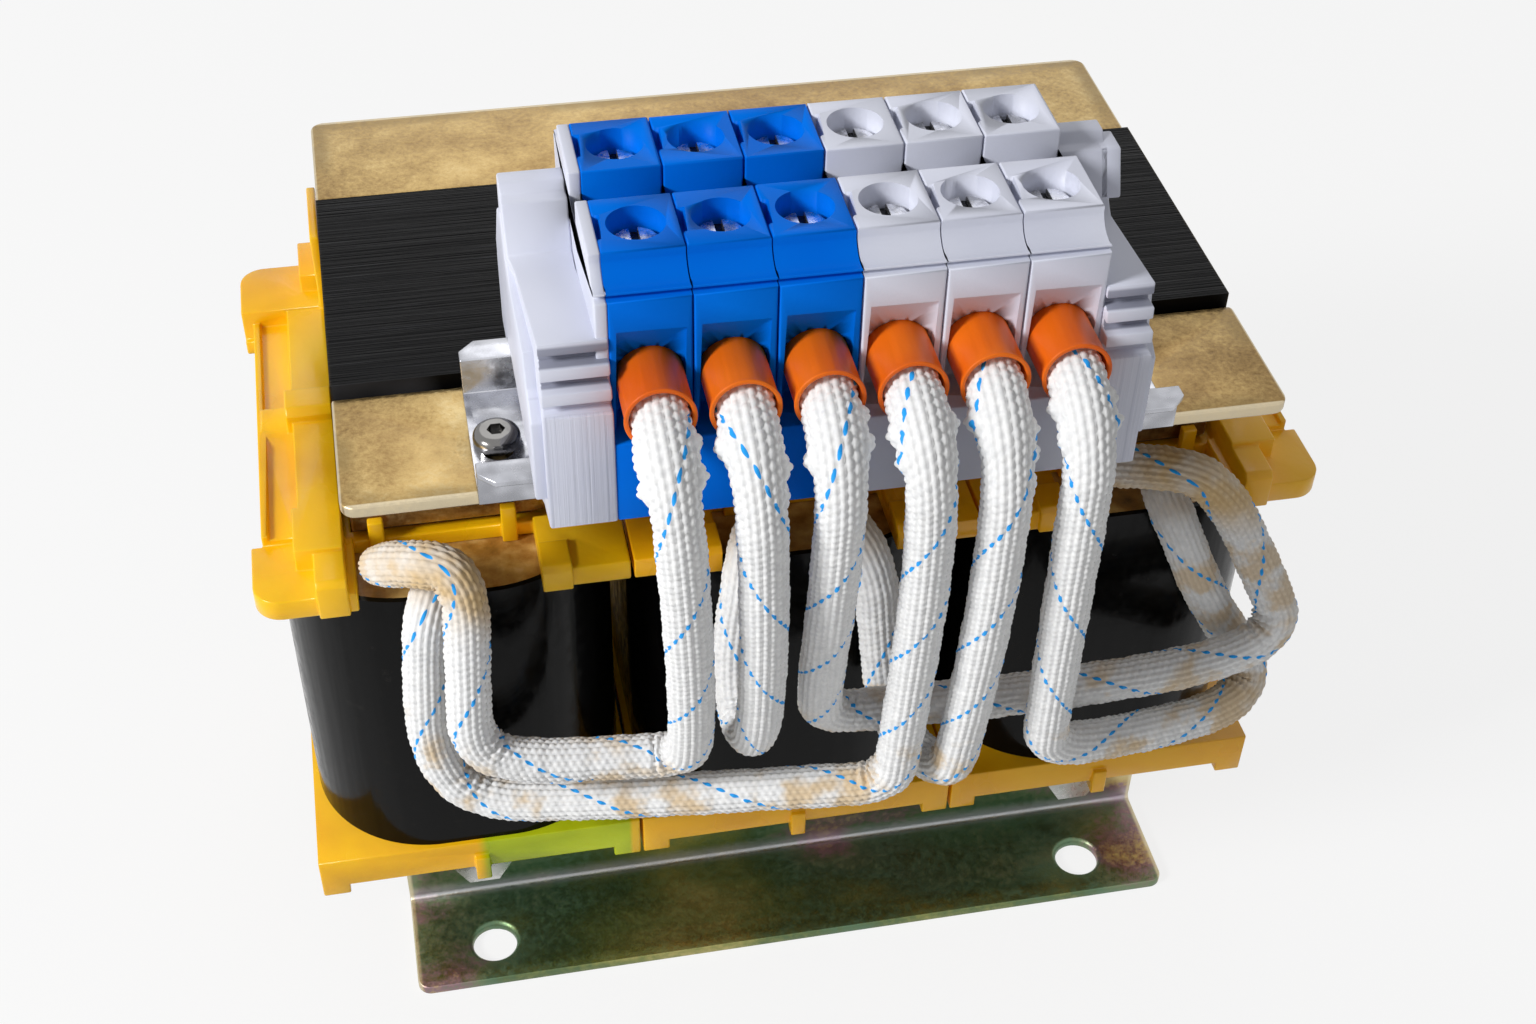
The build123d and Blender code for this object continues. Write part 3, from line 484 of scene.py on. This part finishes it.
def black_wrap():
    """Glossy black film, drawn tight round the coil with a few faint upright creases."""
    f = Finish("black_film", specular_ior_level=0.08, coat_weight=0.04, coat_roughness=0.06)
    upright = f.noise(1.0, 2.0, 0.5, f.stretched((260.0, 260.0, 18.0)))
    dust = f.noise(420.0, 3.0, 0.6)
    f.give("base_color", f.mix(dust.step(0.6, 0.8, 0.0, 0.6), (0.002, 0.002, 0.002), (0.012, 0.011, 0.01)))
    f.give("roughness", dust.step(0.35, 0.7, 0.12, 0.26))
    f.give("normal", f.bump(upright, 0.0005, 0.35))
    return f.material


def varnished_paper():
    """Impregnated paper and tape: brown and gold, with pale fibres and resin-dark places."""
    f = Finish("impregnated_paper", coat_weight=0.2)
    fibre = f.noise(1.0, 4.0, 0.6, f.stretched((300.0, 300.0, 900.0)))
    soak = f.noise(75.0, 3.0, 0.6)
    stops = [(0.34, (0.10, 0.04, 0.008)), (0.46, (0.34, 0.17, 0.035)), (0.56, (0.55, 0.36, 0.12)),
             (0.68, (0.74, 0.58, 0.32))]
    f.give("base_color", f.ramp(soak * 0.65 + fibre * 0.35, stops))
    f.give("roughness", fibre.step(0.3, 0.7, 0.3, 0.6))
    f.give("normal", f.bump(fibre + soak * 2.0, 0.0005, 0.6))
    return f.material


def passivated_top():
    """The upper angles' satin yellow passivation: clouded gold, worn brown near the rims, and painted highlights
    along the rims.
    """
    f = Finish("passivated_gold")
    x, y, z = f.xyz()
    mottle = f.noise(62.0, 5.0, 0.65)
    grain = f.noise(1050.0, 3.0, 0.7)
    large = f.noise(14.0, 3.0, 0.5)
    stops = [(0.37, (0.15, 0.085, 0.028)), (0.46, (0.30, 0.195, 0.075)), (0.54, (0.47, 0.33, 0.135)),
             (0.64, (0.66, 0.52, 0.27))]
    body = f.ramp(mottle * 0.40 + grain * 0.26 + large * 0.34, stops)
    # Painted highlight: a pale band along the rims stands in for light caught on their rounded edges
    rim = abs(x).step(*TOP_HIGHLIGHT_X) | abs(y).step(*TOP_HIGHLIGHT_Y)
    worn = abs(x).step(*TOP_WORN_X) | abs(y).step(*TOP_WORN_Y)
    shaded = f.mix(worn * mottle.step(0.42, 0.6) * 0.55, body, (0.16, 0.105, 0.04))
    f.give("base_color", f.mix(rim * 0.55, shaded, (0.80, 0.72, 0.54)))
    f.give("metallic", 0.95)
    f.give("roughness", grain.step(0.3, 0.7, 0.3, 0.5))
    f.give("normal", f.bump(grain * 0.6 + mottle, 0.0002, 0.5))
    return f.material


def passivated_foot():
    """The feet's rainbow passivation: olive and grey green with violet and gold clouds, and a painted pale lilac
    highlight along the bend.
    """
    f = Finish("passivated_rainbow")
    x, y, z = f.xyz()
    cloud = f.noise(1.0, 3.0, 0.55, f.stretched((13.0, 30.0, 26.0)))
    ring = f.noise(42.0, 4.0, 0.6)
    grain = f.noise(800.0, 3.0, 0.65)
    ends = abs(x).step(*FOOT_END_X)
    film = cloud * 0.68 + ring * 0.22 + grain * 0.1 + ends * 0.09
    stops = [(0.36, (0.46, 0.39, 0.15)), (0.42, (0.23, 0.25, 0.09)), (0.47, (0.12, 0.17, 0.08)),
             (0.51, (0.12, 0.20, 0.12)), (0.55, (0.18, 0.23, 0.13)), (0.59, (0.28, 0.18, 0.20)),
             (0.63, (0.52, 0.40, 0.17)), (0.70, (0.62, 0.52, 0.27))]
    # Painted highlight: a pale lilac band along the bend stands in for light reflected there
    bend = abs(y).step(*FOOT_HIGHLIGHT_Y) * z.step(*FOOT_HIGHLIGHT_Z)
    rim = abs(x).step(*FOOT_RIM_X) | abs(y).step(*FOOT_RIM_Y)
    body = f.mix(bend * 0.65, f.ramp(film, stops), (0.58, 0.53, 0.62))
    f.give("base_color", f.mix(rim * 0.7, body, (0.70, 0.62, 0.40)))
    f.give("metallic", 0.95)
    f.give("roughness", grain.step(0.3, 0.7, 0.32, 0.5))
    f.give("normal", f.bump(grain + ring, 0.00015, 0.4))
    return f.material


def bright_metal(name, colour, low, high, scale=500.0, shade=0.8):
    """A bright fastener or zinc finish: fine grain and slow clouds, its roughness from low to high."""
    f = Finish(name, metallic=1.0)
    grain = f.noise(scale, 3.0, 0.6)
    cloud = f.noise(70.0, 3.0, 0.6)
    darker = tuple(c * shade for c in colour)
    f.give("base_color", f.mix(cloud.step(0.38, 0.62), darker, colour))
    f.give("roughness", grain.step(0.3, 0.7, low, high))
    f.give("normal", f.bump(grain, 0.00006, 0.3))
    return f.material


def slotted_screw():
    """Bright plated clamp screws, with painted shade in the slot and down the head's flank."""
    f = Finish("screw_steel", metallic=1.0)
    x, y, z = f.xyz()
    grain = f.noise(600.0, 3.0, 0.6)
    cloud = f.noise(260.0, 3.0, 0.6)
    from_slot = abs(((x + TERMINAL_EDGE) % TERMINAL_PITCH) - TERMINAL_PITCH / 2)
    slot = from_slot.step(*SLOT_WIDTH) * z.step(*SLOT_Z)
    silver = f.mix(cloud.step(0.4, 0.6), (0.42, 0.42, 0.42), (0.92, 0.92, 0.92))
    # Painted shade: the slot and the head's flank in its well are coloured near black and not metallic, standing
    # in for shade
    dark = slot | z.step(*HEAD_FLANK_Z) * 0.8
    f.give("base_color", f.mix(dark, silver, (0.012, 0.012, 0.012)))
    f.give("metallic", 1 - dark)
    f.give("roughness", grain.step(0.3, 0.7, 0.16, 0.34))
    f.give("normal", f.bump(grain, 0.0001, 0.4))
    return f.material


def moulded_plastic(name, colour, shade, roughness=0.4, gloss=0.25):
    """Fine-grained moulded plastic with a slight cloudiness."""
    f = Finish(name, specular_ior_level=gloss)
    cloud = f.noise(45.0, 2.0, 0.5)
    grain = f.noise(1800.0, 2.0, 0.5)
    f.give("base_color", f.mix(cloud.step(0.3, 0.7), shade, colour))
    f.give("roughness", cloud.step(0.3, 0.7, roughness - 0.05, roughness + 0.06))
    f.give("normal", f.bump(grain, 0.00005, 0.35))
    return f.material


def clamp_moulding():
    """The end clamps' grey moulding: cloudy, with painted shade between the ribs, and fine upright marks down the
    cut front.
    """
    f = Finish("clamp_grey", specular_ior_level=0.25)
    x, y, z = f.xyz()
    cloud = f.noise(45.0, 2.0, 0.5)
    marks = f.noise(1.0, 3.0, 0.65, f.stretched((1500.0, 40.0, 14.0)))
    front = y.step(*CLAMP_FRONT_Y)
    sideways = f.node("SeparateXYZ", {0: f.node("NewGeometry", out="Normal")})
    # Painted shade: the faces between the ribs, except those facing sideways, are darkened as if in shade
    painted_rib_shade = y.step(*RIB_FRONT_Y) * y.step(*RIB_ROOT_Y) * z.step(*RIB_LOW_Z) * z.step(*RIB_HIGH_Z)
    painted_rib_shade = painted_rib_shade * abs(sideways).step(0.6, 0.4)
    colour = f.mix(cloud.step(0.3, 0.7), (0.65, 0.67, 0.78), (0.70, 0.72, 0.82))
    colour = f.mix(front * marks.step(0.45, 0.65) * 0.45, colour, (0.45, 0.47, 0.58))
    f.give("base_color", f.mix(painted_rib_shade * 0.8, colour, (0.20, 0.21, 0.28)))
    f.give("roughness", cloud.step(0.3, 0.7, 0.38, 0.5))
    f.give("normal", f.bump(marks * front + cloud, 0.00025, 0.5))
    return f.material


def knitted_sleeve():
    """White knitted glass sleeve: blue tracer dashes that wind round it, and varnish stains."""
    f = Finish("braid_white", sheen_weight=0.15)
    u, v = f.node("SeparateXYZ", {0: f.node("UVMap", uv_map="knit")}, out=(0, 1))
    column = v.maths("FLOOR")
    across = v - column - 0.5
    apart = TRACER_PITCH / TRACERS
    along = u - column * (TRACER_PITCH / COLUMNS) - across * DASH_SLANT
    off = (((along / apart) % 1.0) - 0.5) * apart
    tracer = ((off / DASH_LENGTH) ** 2.0 + (across / DASH_WIDTH) ** 2.0).step(1.2, 0.8)
    knit = f.noise(900.0, 2.0, 0.5)
    cloud = f.noise(70.0, 3.0, 0.55)
    patches = f.noise(95.0, 3.0, 0.6)
    white = f.mix(knit.step(0.3, 0.7), (0.80, 0.805, 0.81), (0.90, 0.90, 0.895))
    x, y, z = f.xyz()
    soak = z.step(*SOAKED_Z) * y.step(*SOAKED_Y) * (cloud.step(0.38, 0.6) * 0.7 + 0.2)
    elbows = z.step(*ELBOW_Z) * patches.step(0.50, 0.64) * 0.7
    loops = x.step(*LOOP_X) * patches.step(0.47, 0.6) * 0.6
    stained = f.mix(soak | elbows | loops, white, (0.66, 0.44, 0.17))
    f.give("base_color", f.mix(tracer, stained, (0.003, 0.35, 0.90)))
    f.give("roughness", knit.step(0.3, 0.7, 0.7, 0.85))
    yarn = (u * 1.6 + v).maths("SINE") * 0.5
    f.give("normal", f.bump(knit + yarn * 0.4, 0.00012, 0.5))
    return f.material


finishes = {
    "core_lacquer": lacquered_core(),
    "black_film": black_wrap(),
    "impregnated_paper": varnished_paper(),
    "passivated_gold": passivated_top(),
    "passivated_rainbow": passivated_foot(),
    "amber_left": amber_moulding("amber_left", (0.96, 0.53, 0.003), lime=True),
    "amber_right": amber_moulding("amber_right", (0.93, 0.46, 0.003)),
    "gap_board": moulded_plastic("gap_board", (0.5, 0.36, 0.18), (0.36, 0.25, 0.12), 0.6),
    "winding_copper": bright_metal("winding_copper", (0.72, 0.34, 0.16), 0.25, 0.4),
    "fastener_steel": bright_metal("fastener_steel", (0.66, 0.66, 0.65), 0.2, 0.36),
    "screw_steel": slotted_screw(),
    "rail_zinc": bright_metal("rail_zinc", (0.62, 0.63, 0.68), 0.16, 0.34, 420.0, 0.55),
    "dark_steel": bright_metal("dark_steel", (0.20, 0.195, 0.19), 0.1, 0.24, 500.0, 0.4),
    "bar_brass": bright_metal("bar_brass", (0.78, 0.62, 0.35), 0.25, 0.4),
    "blue_plastic": moulded_plastic("blue_plastic", (0.0, 0.17, 0.78), (0.0, 0.145, 0.72), 0.36, 0.03),
    "grey_plastic": moulded_plastic("grey_plastic", (0.70, 0.72, 0.82), (0.65, 0.67, 0.78), 0.42),
    "clamp_grey": clamp_moulding(),
    "orange_plastic": moulded_plastic("orange_plastic", (0.90, 0.185, 0.006), (0.76, 0.12, 0.004), 0.4),
    "braid_white": knitted_sleeve(),
}

# Each node takes the finish of the first line that its name starts with
NODE_FINISHES = [
    ("core_", "core_lacquer"),
    ("air_gap", "gap_board"),
    ("bolt_sleeves", "gap_board"),
    ("bobbin_left", "amber_left"),
    ("bobbin_", "amber_right"),
    ("winding_", "winding_copper"),
    ("coil_wrap_", "black_film"),
    ("margin_paper_", "impregnated_paper"),
    ("top_angle_", "passivated_gold"),
    ("foot_angle_", "passivated_rainbow"),
    ("yoke_", "fastener_steel"),
    ("mounting_rail", "rail_zinc"),
    ("rail_screws", "dark_steel"),
    ("rail_nuts", "fastener_steel"),
    ("current_bars", "bar_brass"),
    ("clamp_screws", "screw_steel"),
    ("clamp_", "fastener_steel"),
    ("end_", "grey_plastic"),
    ("lead_", "braid_white"),
    ("wire_collars", "orange_plastic"),
    ("ferrules", "bar_brass"),
    ("terminal_1", "blue_plastic"),
    ("terminal_2", "blue_plastic"),
    ("terminal_3", "blue_plastic"),
    ("terminal_", "grey_plastic"),
]


def finish_of(node):
    return next(finishes[finish] for start, finish in NODE_FINISHES if node.startswith(start))


def dress(piece, material):
    piece.data.materials.clear()
    piece.data.materials.append(material)


# How far each moulded or folded piece's edges are rounded, in millimetres
EDGE_ROUNDING = {"terminal_": 0.3, "bobbin_": 0.3, "end_plate": 0.25, "wire_collars": 0.2,
                 "mounting_rail": 0.2, "top_angle_": 0.3, "foot_angle_": 0.3}
SHARP = math.radians(32)
SMOOTH = math.radians(40)
FLAT = math.radians(1.0)
SAME_PLACE = 0.000002

# The terminals' screw wells and wire entries are made of edges shorter than this, and stay sharp
BORE_EDGE = 1.6


def sharp_and_long(mesh, shortest):
    """1 for each edge that is sharp and longer than this, in millimetres, and 0 for the rest."""
    shape = bmesh.new()
    shape.from_mesh(mesh)
    marks = [float(len(edge.link_faces) == 2 and edge.calc_face_angle() > SHARP
                   and edge.calc_length() > shortest * MM) for edge in shape.edges]
    shape.free()
    return marks


def round_edges(piece, radius, shortest=0.0):
    """Rounds the sharp edges, or only those longer than shortest."""
    rounding = piece.modifiers.new("rounding", "BEVEL")
    rounding.width = radius * MM
    rounding.segments = 2
    rounding.limit_method = "ANGLE"
    rounding.angle_limit = SHARP
    rounding.use_clamp_overlap = False
    if shortest:
        weights = piece.data.attributes.new("bevel_weight_edge", "FLOAT", "EDGE")
        weights.data.foreach_set("value", sharp_and_long(piece.data, shortest))
        rounding.limit_method = "WEIGHT"
    bpy.context.view_layer.objects.active = piece
    bpy.ops.object.modifier_apply(modifier=rounding.name)
    bpy.ops.object.select_all(action="DESELECT")
    piece.select_set(True)
    bpy.ops.object.shade_smooth_by_angle(angle=SMOOTH)


def softened(name, radius):
    """A copy of a CAD node with its edges rounded, which stands for the node."""
    bpy.ops.object.select_all(action="DESELECT")
    piece = bpy.data.objects.new(f"{name}_softened", nodes[name].data.copy())
    bpy.context.scene.collection.objects.link(piece)
    bpy.context.view_layer.objects.active = piece
    piece.select_set(True)
    bpy.ops.object.mode_set(mode="EDIT")
    bpy.ops.mesh.select_all(action="SELECT")
    bpy.ops.mesh.remove_doubles(threshold=SAME_PLACE)
    bpy.ops.mesh.dissolve_limited(angle_limit=FLAT)
    bpy.ops.object.mode_set(mode="OBJECT")
    round_edges(piece, radius, BORE_EDGE if name.startswith("terminal_") else 0.0)
    dress(piece, finish_of(name))
    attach(piece, "root")
    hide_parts(name)


# The end clamps' outline in (y, z) millimetres: tower with two steps, shelf, three ribs, block, rail hooks
CLAMP_OUTLINE = [
    (-30.0, 157.6), (-30.0, 167.0), (-33.0, 167.0), (-34.4, 165.7), (-36.6, 165.7), (-39.5, 158.6),
    (-43.2, 158.2), (-64.8, 160.9), (-65.0, 158.9), (-63.5, 158.9), (-63.5, 157.4), (-66.0, 157.4),
    (-66.2, 155.4), (-64.6, 155.4), (-64.6, 153.9), (-67.1, 153.9), (-67.3, 151.9), (-65.7, 151.9),
    (-65.7, 150.4), (-68.1, 150.4), (-68.1, 130.2), (-62.3, 130.2), (-59.7, 132.1), (-59.7, 133.8),
    (-62.3, 133.8), (-62.3, 135.4), (-26.7, 135.4), (-26.7, 133.8), (-29.3, 133.8), (-29.3, 132.1),
    (-26.7, 130.2), (-16.1, 130.2), (-16.1, 146.6), (-24.2, 157.3),
]

# The thin web on a clamp's outer face, and the lug beside the right clamp's tower
CLAMP_WEB = [
    (-31.5, 155.0), (-33.0, 162.5), (-38.5, 157.0), (-44.0, 155.6), (-60.5, 156.8), (-61.5, 151.0),
    (-65.8, 148.0), (-65.8, 134.0), (-60.5, 136.4), (-28.0, 136.4), (-19.0, 133.0), (-19.0, 146.0),
]
CLAMP_LUG = [(-31.5, 158.8), (-31.5, 165.7), (-36.6, 165.7), (-39.5, 158.6)]

# How a clamp narrows towards its front, in millimetres, and how deep the web and the lug are set into it
FRONT_Y, SHELF_Y, HOOKS_Z = -60, -40, 140
FRONT_NARROWING, SHELF_NARROWING, LEFT_INNER_NARROWING = 1.5, 0.7, 1.75
WEB_DEPTH, WEB_RISE, LUG_DEPTH = 1.9, 0.2, 1.5
CLAMP_ROUNDING = 0.35


def drawn(outline, first_x, last_x):
    """A solid drawn as an outline of (y, z) points, then extruded along X; all in millimetres."""
    bpy.ops.object.select_all(action="DESELECT")
    bpy.ops.mesh.primitive_plane_add(size=MM)
    piece = bpy.context.object
    bpy.ops.object.mode_set(mode="EDIT")
    bpy.ops.mesh.select_all(action="SELECT")
    bpy.ops.mesh.merge(type="CENTER")
    (y, z), *rest = outline
    bpy.ops.transform.translate(value=(first_x * MM, y * MM, z * MM))
    for next_y, next_z in rest:
        step = (0, (next_y - y) * MM, (next_z - z) * MM)
        bpy.ops.mesh.extrude_region_move(TRANSFORM_OT_translate={"value": step})
        y, z = next_y, next_z
    bpy.ops.mesh.select_all(action="SELECT")
    bpy.ops.mesh.edge_face_add()
    bpy.ops.mesh.extrude_region_move(TRANSFORM_OT_translate={"value": ((last_x - first_x) * MM, 0, 0)})
    bpy.ops.mesh.select_all(action="SELECT")
    bpy.ops.mesh.normals_make_consistent(inside=False)
    bpy.ops.object.mode_set(mode="OBJECT")
    return piece


def shift_corners(piece, test, distance):
    """The corners that pass the test, in millimetres, moved along X."""
    bpy.context.view_layer.objects.active = piece
    bpy.ops.object.mode_set(mode="EDIT")
    bpy.ops.mesh.select_all(action="DESELECT")
    mesh = bmesh.from_edit_mesh(piece.data)
    for corner in mesh.verts:
        corner.select_set(test(corner.co / MM))
    mesh.select_flush(True)
    bmesh.update_edit_mesh(piece.data)
    bpy.ops.transform.translate(value=(distance * MM, 0, 0))
    bpy.ops.object.mode_set(mode="OBJECT")


def end_clamp(name, inner, outer, lug=None):
    """An end clamp of the row: wide at the tower and narrower at the front, with a web on its outer face."""
    side = 1 if outer > inner else -1
    middle = (inner + outer) / 2

    def on_outer_face(at):
        return (at.x - middle) * side > 0

    body = drawn(CLAMP_OUTLINE, inner, outer)
    shift_corners(body, lambda at: on_outer_face(at) and at.y < FRONT_Y, -FRONT_NARROWING * side)
    shift_corners(body, lambda at: on_outer_face(at) and FRONT_Y < at.y < SHELF_Y and at.z > HOOKS_Z,
                  -SHELF_NARROWING * side)
    if side < 0:
        shift_corners(body, lambda at: at.x > middle and at.y < FRONT_Y, LEFT_INNER_NARROWING)
    parts = [body, drawn(CLAMP_WEB, outer - WEB_DEPTH * side, outer + WEB_RISE * side)]
    if lug:
        parts.append(drawn(CLAMP_LUG, outer - LUG_DEPTH * side, lug))
    for part in parts:
        round_edges(part, CLAMP_ROUNDING)
    for part in parts:
        part.select_set(True)
    bpy.context.view_layer.objects.active = body
    bpy.ops.object.join()
    bpy.ops.object.origin_set(type="ORIGIN_CURSOR")
    body.name = f"{name}_moulded"
    dress(body, finishes["clamp_grey"])
    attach(body, "root")
    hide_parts(name)


for name, node in nodes.items():
    for place in node.material_slots:
        place.material = finish_of(name)
for piece in sleeves:
    dress(piece, finishes["braid_white"])
for name in sorted(nodes):
    radius = next((r for start, r in EDGE_ROUNDING.items() if name.startswith(start)), None)
    if radius:
        softened(name, radius)
end_clamp("end_clamp_left", -36.7, -46.4)
end_clamp("end_clamp_right", 36.9, 45.6, lug=47.5)

WHITE = (1.0, 1.0, 1.0)

# How white the floor is for the camera and in reflections; the rest of it shows the object's shadow
FLOOR_GLOW = 0.82
FLOOR_SIZE = 6.0
SOFT_LIGHT = 0.28

# Each lamp: its place and the point that it faces, in metres, its size and its watts
LAMPS = {
    "key": ((-1.05, -0.45, 0.8), (0, 0, 0.08), 0.3, 14.5),
    "fill": ((0.8, -0.8, 0.6), (0, 0, 0.08), 0.8, 0.3),
    "back": ((0.1, 0.9, 0.9), (0, 0, 0.1), 0.8, 2.0),
}


def add_floor():
    bpy.ops.mesh.primitive_plane_add(size=FLOOR_SIZE, location=(0, 0, 0))
    floor = bpy.context.object
    floor.name = "floor"
    f = Finish("floor_white", specular_ior_level=0.1)
    f.give("base_color", f.mix(f.noise(30.0, 2.0, 0.5), (0.76, 0.76, 0.76), (0.78, 0.78, 0.78)))
    f.give("roughness", 0.9)
    glow = f.node("Emission", {"Color": WHITE, "Strength": 1.0})
    lit = Value(f, f.shader.outputs["BSDF"])
    surface = f.node("MixShader", {0: f.shown_white() * FLOOR_GLOW, 1: lit, 2: glow})
    f.feed(f.tree.nodes["Material Output"].inputs["Surface"], surface)
    dress(floor, f.material)


def light_world():
    """Even soft light on the object from all round, and white behind it."""
    world = bpy.data.worlds.new("studio")
    bpy.context.scene.world = world
    world.use_nodes = True
    world.node_tree.nodes.clear()
    studio = Nodes(world.node_tree)
    soft = studio.node("Background", {"Color": WHITE, "Strength": SOFT_LIGHT})
    white = studio.node("Background", {"Color": WHITE, "Strength": 1.0})
    surface = studio.node("MixShader", {0: studio.shown_white(), 1: soft, 2: white})
    studio.node("OutputWorld", {"Surface": surface})


def add_lamp(name, place, target, size, watts):
    data = bpy.data.lights.new(name, "AREA")
    data.size = size
    data.energy = watts
    lamp = bpy.data.objects.new(name, data)
    bpy.context.scene.collection.objects.link(lamp)
    lamp.location = place
    lamp.rotation_euler = (Vector(target) - Vector(place)).to_track_quat("-Z", "Y").to_euler()


add_floor()
light_world()
for name, lamp in LAMPS.items():
    add_lamp(name, *lamp)
bpy.context.scene.view_settings.view_transform = "Standard"
